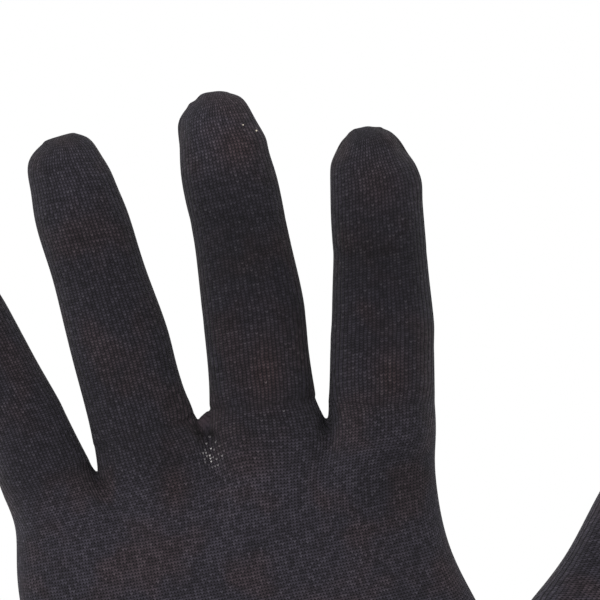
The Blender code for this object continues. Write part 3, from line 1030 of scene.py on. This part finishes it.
class Nodes:
    """Short forms for the shader nodes that the knit is made of."""

    def __init__(self, material):
        material.use_nodes = True
        self.tree = material.node_tree
        self.shader = self.tree.nodes["Principled BSDF"]

    def new(self, kind, **settings):
        node = self.tree.nodes.new(kind)
        for name, value in settings.items():
            setattr(node, name, value)
        return node

    def link(self, value, socket):
        if isinstance(value, bpy.types.NodeSocket):
            self.tree.links.new(value, socket)
        else:
            socket.default_value = value

    def math(self, operation, *values, clamp=False):
        node = self.new("ShaderNodeMath", operation=operation, use_clamp=clamp)
        for value, socket in zip(values, node.inputs):
            self.link(value, socket)
        return node.outputs[0]

    def ramp(self, value, low, high, to_low=0.0, to_high=1.0):
        """A smooth step of the value from one number to another."""
        node = self.new("ShaderNodeMapRange", interpolation_type="SMOOTHSTEP")
        for number, socket in zip((value, low, high, to_low, to_high), node.inputs):
            self.link(number, socket)
        return node.outputs[0]

    def eased(self, value, weight):
        """The value drawn towards one as its weight goes down to nought."""
        lacking = self.math("SUBTRACT", 1.0, value)
        return self.math("SUBTRACT", 1.0, self.math("MULTIPLY", weight, lacking))

    def mix(self, share, first, second):
        """The mix of two colours. The shader's colour sockets come after its number ones."""
        node = self.new("ShaderNodeMix", data_type="RGBA")
        self.link(share, node.inputs[0])
        self.link(first, node.inputs[6])
        self.link(second, node.inputs[7])
        return node.outputs[2]

    def times(self, colour, level):
        node = self.new("ShaderNodeVectorMath", operation="SCALE")
        self.link(colour, node.inputs[0])
        self.link(level, node.inputs["Scale"])
        return node.outputs[0]

    def attribute(self, name):
        return self.new("ShaderNodeAttribute", attribute_name=name).outputs["Fac"]

    def pinhole(self, where, pinhole):
        """One inside a pinhole on the front, and nought elsewhere."""
        middle = VIEW_CENTRE + VIEW_RIGHT * (pinhole.right * MM) + VIEW_UP * (pinhole.up * MM)
        level = self.new("ShaderNodeVectorMath", operation="MULTIPLY")
        self.link(where, level.inputs[0])
        self.link((1.0, 0.0, 1.0), level.inputs[1])
        far = self.new("ShaderNodeVectorMath", operation="DISTANCE")
        self.link(level.outputs[0], far.inputs[0])
        self.link((middle.x, 0.0, middle.z), far.inputs[1])
        split = self.new("ShaderNodeSeparateXYZ")
        self.link(where, split.inputs[0])
        outer = pinhole.radius * (1 + PINHOLE_FADE) * MM
        inner = pinhole.radius * (1 - PINHOLE_FADE) * MM
        near = self.ramp(far.outputs["Value"], outer, inner)
        return self.math("MULTIPLY", near, self.math("LESS_THAN", split.outputs[1], 0.0))

    def noise(self, vector, scale, detail=2.0, roughness=0.5):
        node = self.new("ShaderNodeTexNoise")
        self.link(vector, node.inputs["Vector"])
        node.inputs["Scale"].default_value = scale
        node.inputs["Detail"].default_value = detail
        node.inputs["Roughness"].default_value = roughness
        return node.outputs["Fac"]


def stitch_places(nodes, where):
    """The wale, the share of it from its edges to its middle, and the course along its legs."""
    split = nodes.new("ShaderNodeSeparateXYZ")
    nodes.link(nodes.new("ShaderNodeUVMap", uv_map="stitches").outputs[0], split.inputs[0])
    sway = nodes.math("SUBTRACT", nodes.noise(where, SWAY_SCALE), 0.5)
    drift = nodes.math("SUBTRACT", nodes.noise(where, DRIFT_SCALE, 3.0), 0.5)
    wale = nodes.math("ADD", split.outputs[0], nodes.math("MULTIPLY", sway, WANDER))
    course = nodes.math("ADD", split.outputs[1], nodes.math("MULTIPLY", drift, WANDER))
    side = nodes.math("MULTIPLY", nodes.math("PINGPONG", wale, 0.5), 2.0)
    aside = nodes.math("SUBTRACT", 1.0, side)
    rise = nodes.math("SUBTRACT", course, nodes.math("MULTIPLY", aside, LEG_SLANT))
    return wale, aside, rise


def stitch_heights(nodes, aside, rise, relief):
    """The light dots where wales and courses cross, and the height of the whole knit."""
    leg = nodes.math("MULTIPLY", nodes.math("PINGPONG", rise, 0.5), 2.0)
    across = nodes.ramp(aside, *WALE_EDGE)
    along = nodes.ramp(leg, *COURSE_EDGE)
    change = nodes.math("SUBTRACT", along, across)
    apart = nodes.math("MULTIPLY", nodes.attribute("courses"), change)
    dots = nodes.math("POWER", nodes.math("ADD", across, apart), DOT_POWER)
    narrow = nodes.math("MULTIPLY", nodes.math("POWER", across, WALE_POWER), WALE_SHARE)
    net = nodes.eased(along, nodes.math("SUBTRACT", 1.0, narrow))
    lines = nodes.math("POWER", net, LINE_POWER)
    more = nodes.math("MULTIPLY", nodes.attribute("meshed"), nodes.math("SUBTRACT", lines, dots))
    return dots, nodes.eased(nodes.math("ADD", dots, more), relief)


def stitch_chance(nodes, wale, rise):
    """A number from nought to one for each stitch, the same each time."""
    cell = nodes.new("ShaderNodeCombineXYZ")
    nodes.link(nodes.math("FLOOR", wale), cell.inputs[0])
    nodes.link(nodes.math("FLOOR", rise), cell.inputs[1])
    chance = nodes.new("ShaderNodeTexWhiteNoise", noise_dimensions="2D")
    nodes.link(cell.outputs[0], chance.inputs["Vector"])
    return chance.outputs["Value"]


def yarn_colour(nodes, where, chance, height, relief):
    """Yarn and gaps, which change a little from stitch to stitch and from place to place."""
    stray = nodes.math("MULTIPLY", nodes.math("SUBTRACT", chance, 0.5), relief)
    stitch = nodes.math("MULTIPLY_ADD", stray, STITCH_CHANGE, 1.0)
    cloud = nodes.noise(where, PATCH_SCALE, 3.0)
    patch = nodes.math("MULTIPLY_ADD", cloud, PATCH_CHANGE, 1.0 - PATCH_CHANGE / 2)
    lit = nodes.math("MULTIPLY", nodes.math("MULTIPLY", stitch, patch), nodes.attribute("light"))
    tint = nodes.ramp(nodes.noise(where, TINT_SCALE, 2.0), *TINT_EDGE)
    warm = nodes.math("MAXIMUM", nodes.math("MULTIPLY", tint, TINT_SHARE), nodes.attribute("warm"))
    yarn = nodes.mix(warm, YARN_COLOUR, WARM_COLOUR)
    return nodes.times(nodes.mix(height, GAP_COLOUR, yarn), lit)


def knit_material(name):
    """Plain knit in fine black yarn: rows of V stitches with dark gaps between them."""
    material = bpy.data.materials.new(name)
    nodes = Nodes(material)
    where = nodes.new("ShaderNodeTexCoord").outputs["Object"]
    relief = nodes.attribute("relief")
    wale, aside, rise = stitch_places(nodes, where)
    dots, height = stitch_heights(nodes, aside, rise, relief)
    chance = stitch_chance(nodes, wale, rise)
    colour = yarn_colour(nodes, where, chance, height, relief)

    luck = nodes.math("MULTIPLY", chance, nodes.attribute("sparkle"))
    chosen = nodes.ramp(luck, *GLINT_CHANCE)
    glint = nodes.math("MULTIPLY", chosen, nodes.ramp(dots, *GLINT_EDGE))
    colour = nodes.mix(glint, colour, GLINT_COLOUR)
    for pinhole in PINHOLES:
        colour = nodes.mix(nodes.pinhole(where, pinhole), colour, PINHOLE_COLOUR)
    nodes.link(colour, nodes.shader.inputs["Base Color"])

    bump = nodes.new("ShaderNodeBump")
    bump.inputs["Strength"].default_value = 1.0
    bump.inputs["Distance"].default_value = STITCH_RELIEF
    nodes.link(height, bump.inputs["Height"])
    nodes.link(bump.outputs[0], nodes.shader.inputs["Normal"])
    nodes.shader.inputs["Roughness"].default_value = KNIT_ROUGHNESS
    nodes.shader.inputs["Sheen Weight"].default_value = KNIT_SHEEN
    nodes.shader.inputs["Sheen Roughness"].default_value = KNIT_SHEEN_ROUGHNESS
    nodes.shader.inputs["Specular IOR Level"].default_value = KNIT_SPECULAR
    return material


def floor_material():
    material = bpy.data.materials.new("floor")
    material.use_nodes = True
    shader = material.node_tree.nodes["Principled BSDF"]
    shader.inputs["Base Color"].default_value = FLOOR_COLOUR
    shader.inputs["Roughness"].default_value = FLOOR_ROUGHNESS
    return material


def build_floor():
    mesh = bmesh.new()
    corners = [(-1, -1), (1, -1), (1, 1), (-1, 1)]
    spots = [(x * FLOOR_HALF, y * FLOOR_HALF, -FLOOR_DROP) for x, y in corners]
    mesh.faces.new([mesh.verts.new(spot) for spot in spots])
    floor = placed("floor", mesh_data("floor", mesh))
    floor.data.materials.append(floor_material())


def add_lamp():
    light = bpy.data.lights.new("lamp", "AREA")
    light.shape = "DISK"
    light.size = LAMP_SIZE
    light.energy = LAMP_POWER
    lamp = placed("lamp", light)
    lamp.location = LAMP_PLACE
    lamp.rotation_mode = "QUATERNION"
    lamp.rotation_quaternion = (LAMP_AIM - LAMP_PLACE).to_track_quat("-Z", "Y")


def light_scene():
    world = bpy.data.worlds.new("studio")
    world.use_nodes = True
    background = world.node_tree.nodes["Background"]
    background.inputs["Color"].default_value = WORLD_LIGHT
    background.inputs["Strength"].default_value = 1.0
    bpy.context.scene.world = world
    add_lamp()


def add_camera():
    """The camera looks straight at the palm, rolled by the hand's lean."""
    turned = Matrix((VIEW_RIGHT, VIEW_UP, FRONT)).transposed()
    data = bpy.data.cameras.new("camera")
    data.sensor_width = SENSOR_WIDTH
    data.lens = SENSOR_WIDTH * VIEW_DISTANCE / VIEW_WIDTH
    data.clip_start = CLIP_START
    data.clip_end = CLIP_END
    camera = placed("camera", data)
    camera.matrix_world = Matrix.Translation(VIEW_CENTRE + FRONT * VIEW_DISTANCE) @ turned.to_4x4()
    bpy.context.scene.camera = camera


def main():
    bpy.context.scene.view_settings.view_transform = "Standard"
    knit = knit_material("plain_knit")
    for piece, row in zip(build_hand(knit), HAND_PIECES):
        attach(piece, "root")
        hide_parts(*row.nodes)
    cuff = build_cuff(knit)
    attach(cuff, "root")
    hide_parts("cuff")
    build_floor()
    light_scene()
    add_camera()


main()
